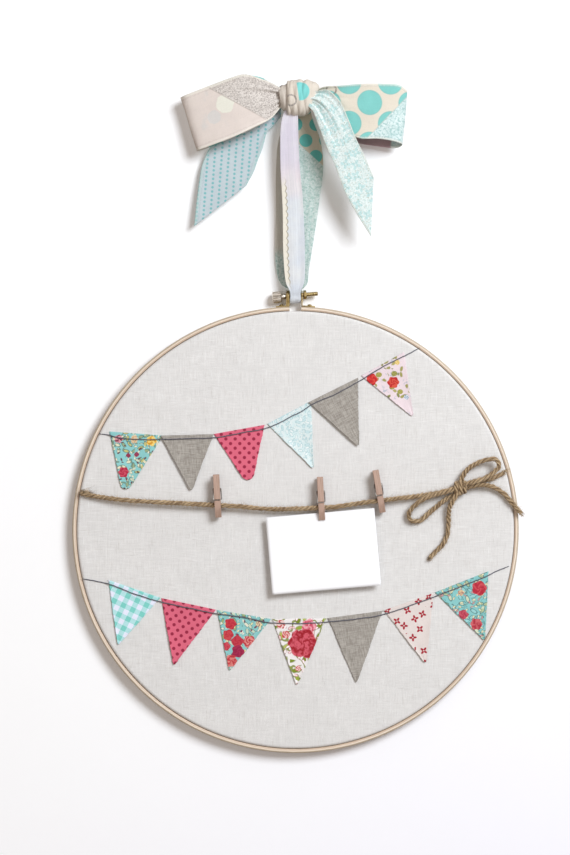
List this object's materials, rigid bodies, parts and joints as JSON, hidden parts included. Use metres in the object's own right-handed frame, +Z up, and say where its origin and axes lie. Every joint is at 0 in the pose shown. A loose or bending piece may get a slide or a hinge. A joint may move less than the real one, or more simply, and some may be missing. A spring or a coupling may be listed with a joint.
{
  "type": "memo board",
  "caption": "Round wall memo board: linen stretched in a wooden embroidery hoop, with bunting, a twine line with clothespins and a note card, hung by a fabric bow.",
  "frame": {"origin": "on the wall at the nail, behind the knot of the ribbon", "axes": "+Z up, +X right as one looks at the board, -Y out from the wall; the wall is the plane y = 0"},
  "size_m": [0.3158, 0.0253, 0.476],
  "materials": {
    "hoop_wood": "smooth, unvarnished",
    "linen": "slubby plain weave",
    "clamp_brass": "plated, dull",
    "screw_nickel": "satin nickel, knurled",
    "spring_steel": "drawn wire",
    "thread": "sewing thread",
    "twine": "three-ply jute",
    "pin_wood": "bare birch",
    "card": "plain",
    "dotted_ribbon": "cotton, dots",
    "pale_ribbon": "cotton, small print",
    "teal_cotton": "cotton, floral print",
    "grey_linen": "plain weave",
    "pink_cotton": "cotton, small dots",
    "aqua_cotton": "cotton, pale print",
    "rose_cotton": "cotton, roses",
    "gingham_cotton": "cotton, gingham",
    "white_cotton": "cotton, red print"
  },
  "bodies": {
    "ribbon": {"bow_knot": "dotted_ribbon", "hanger_strap": "pale_ribbon", "bow_left_loop": "dotted_ribbon", "bow_right_loop": "dotted_ribbon", "bow_left_tail": "pale_ribbon", "bow_right_tail": "pale_ribbon"},
    "hoop": {"inner_hoop": "hoop_wood", "outer_hoop": "hoop_wood", "linen_panel": "linen", "left_lug": "clamp_brass", "right_lug": "clamp_brass", "left_rivet": "clamp_brass", "right_rivet": "clamp_brass", "top_thread": "thread", "top_pennant_1": "teal_cotton", "top_pennant_2": "grey_linen", "top_pennant_3": "pink_cotton", "top_pennant_4": "aqua_cotton", "top_pennant_5": "grey_linen", "top_pennant_6": "rose_cotton", "bottom_thread": "thread", "bottom_pennant_1": "gingham_cotton", "bottom_pennant_2": "pink_cotton", "bottom_pennant_3": "teal_cotton", "bottom_pennant_4": "white_cotton", "bottom_pennant_5": "grey_linen", "bottom_pennant_6": "white_cotton", "bottom_pennant_7": "teal_cotton", "twine_knot": "twine", "twine_line": "twine", "twine_line_end": "twine", "twine_upper_loop": "twine", "twine_lower_loop": "twine", "twine_right_tail": "twine", "twine_hanging_tail": "twine"},
    "screw": {"clamp_screw": "screw_nickel"},
    "nut": {"clamp_nut": "clamp_brass"},
    "left_clip": {"left_pin_back_lever": "pin_wood", "left_pin_spring": "spring_steel"},
    "left_jaw": {"left_pin_front_lever": "pin_wood"},
    "middle_clip": {"middle_pin_back_lever": "pin_wood", "middle_pin_spring": "spring_steel"},
    "middle_jaw": {"middle_pin_front_lever": "pin_wood"},
    "right_clip": {"right_pin_back_lever": "pin_wood", "right_pin_spring": "spring_steel"},
    "right_jaw": {"right_pin_front_lever": "pin_wood"},
    "card": {"note_card": "card"}
  },
  "joints": [
    {"name": "hoop_swing", "type": "hinge", "parent": "ribbon", "child": "hoop", "pos_m": [0, -0.005, -0.1365], "axis": [-0.9962, 0, -0.0872], "range_deg": [0, 60]},
    {"name": "screw_turn", "type": "hinge", "parent": "hoop", "child": "screw", "pos_m": [0, -0.005, -0.1365], "axis": [0.9962, 0, 0.0872], "range_deg": [0, 2178]},
    {"name": "nut_travel", "type": "slide", "parent": "hoop", "child": "nut", "axis": [0.9962, 0, 0.0872], "range_m": [0, 0.003]},
    {"name": "left_clip_slide", "type": "slide", "parent": "hoop", "child": "left_clip", "axis": [0.9986, 0, -0.0521], "range_m": [-0.042, 0.01]},
    {"name": "left_jaw_open", "type": "hinge", "parent": "left_clip", "child": "left_jaw", "pos_m": [-0.05486, -0.01625, -0.27307], "axis": [-0.9983, 0, -0.0576], "range_deg": [0, 18], "stiffness_Nm_per_rad": 0.02, "springref_deg": -34.38, "deforming": ["left_pin_spring"]},
    {"name": "middle_clip_slide", "type": "slide", "parent": "hoop", "child": "middle_clip", "axis": [0.9991, 0, 0.0416], "range_m": [-0.018, 0.001]},
    {"name": "middle_jaw_open", "type": "hinge", "parent": "middle_clip", "child": "middle_jaw", "pos_m": [0.01757, -0.01625, -0.27476], "axis": [-0.9985, 0, -0.0541], "range_deg": [0, 18], "stiffness_Nm_per_rad": 0.02, "springref_deg": -34.38, "deforming": ["middle_pin_spring"]},
    {"name": "right_clip_slide", "type": "slide", "parent": "hoop", "child": "right_clip", "axis": [0.993, 0, 0.1183], "range_m": [-0.0005, 0.014]},
    {"name": "right_jaw_open", "type": "hinge", "parent": "right_clip", "child": "right_jaw", "pos_m": [0.05767, -0.01625, -0.26988], "axis": [-0.9857, 0, -0.1685], "range_deg": [0, 18], "stiffness_Nm_per_rad": 0.02, "springref_deg": -34.38, "deforming": ["right_pin_spring"]},
    {"name": "card_slide", "type": "slide", "parent": "middle_clip", "child": "card", "axis": [0.0541, 0, -0.9985], "range_m": [0, 0.008]}
  ],
  "couplings": [
    {"joint": "screw_turn", "follows": "nut_travel", "rad_per_m": 12566}
  ]
}
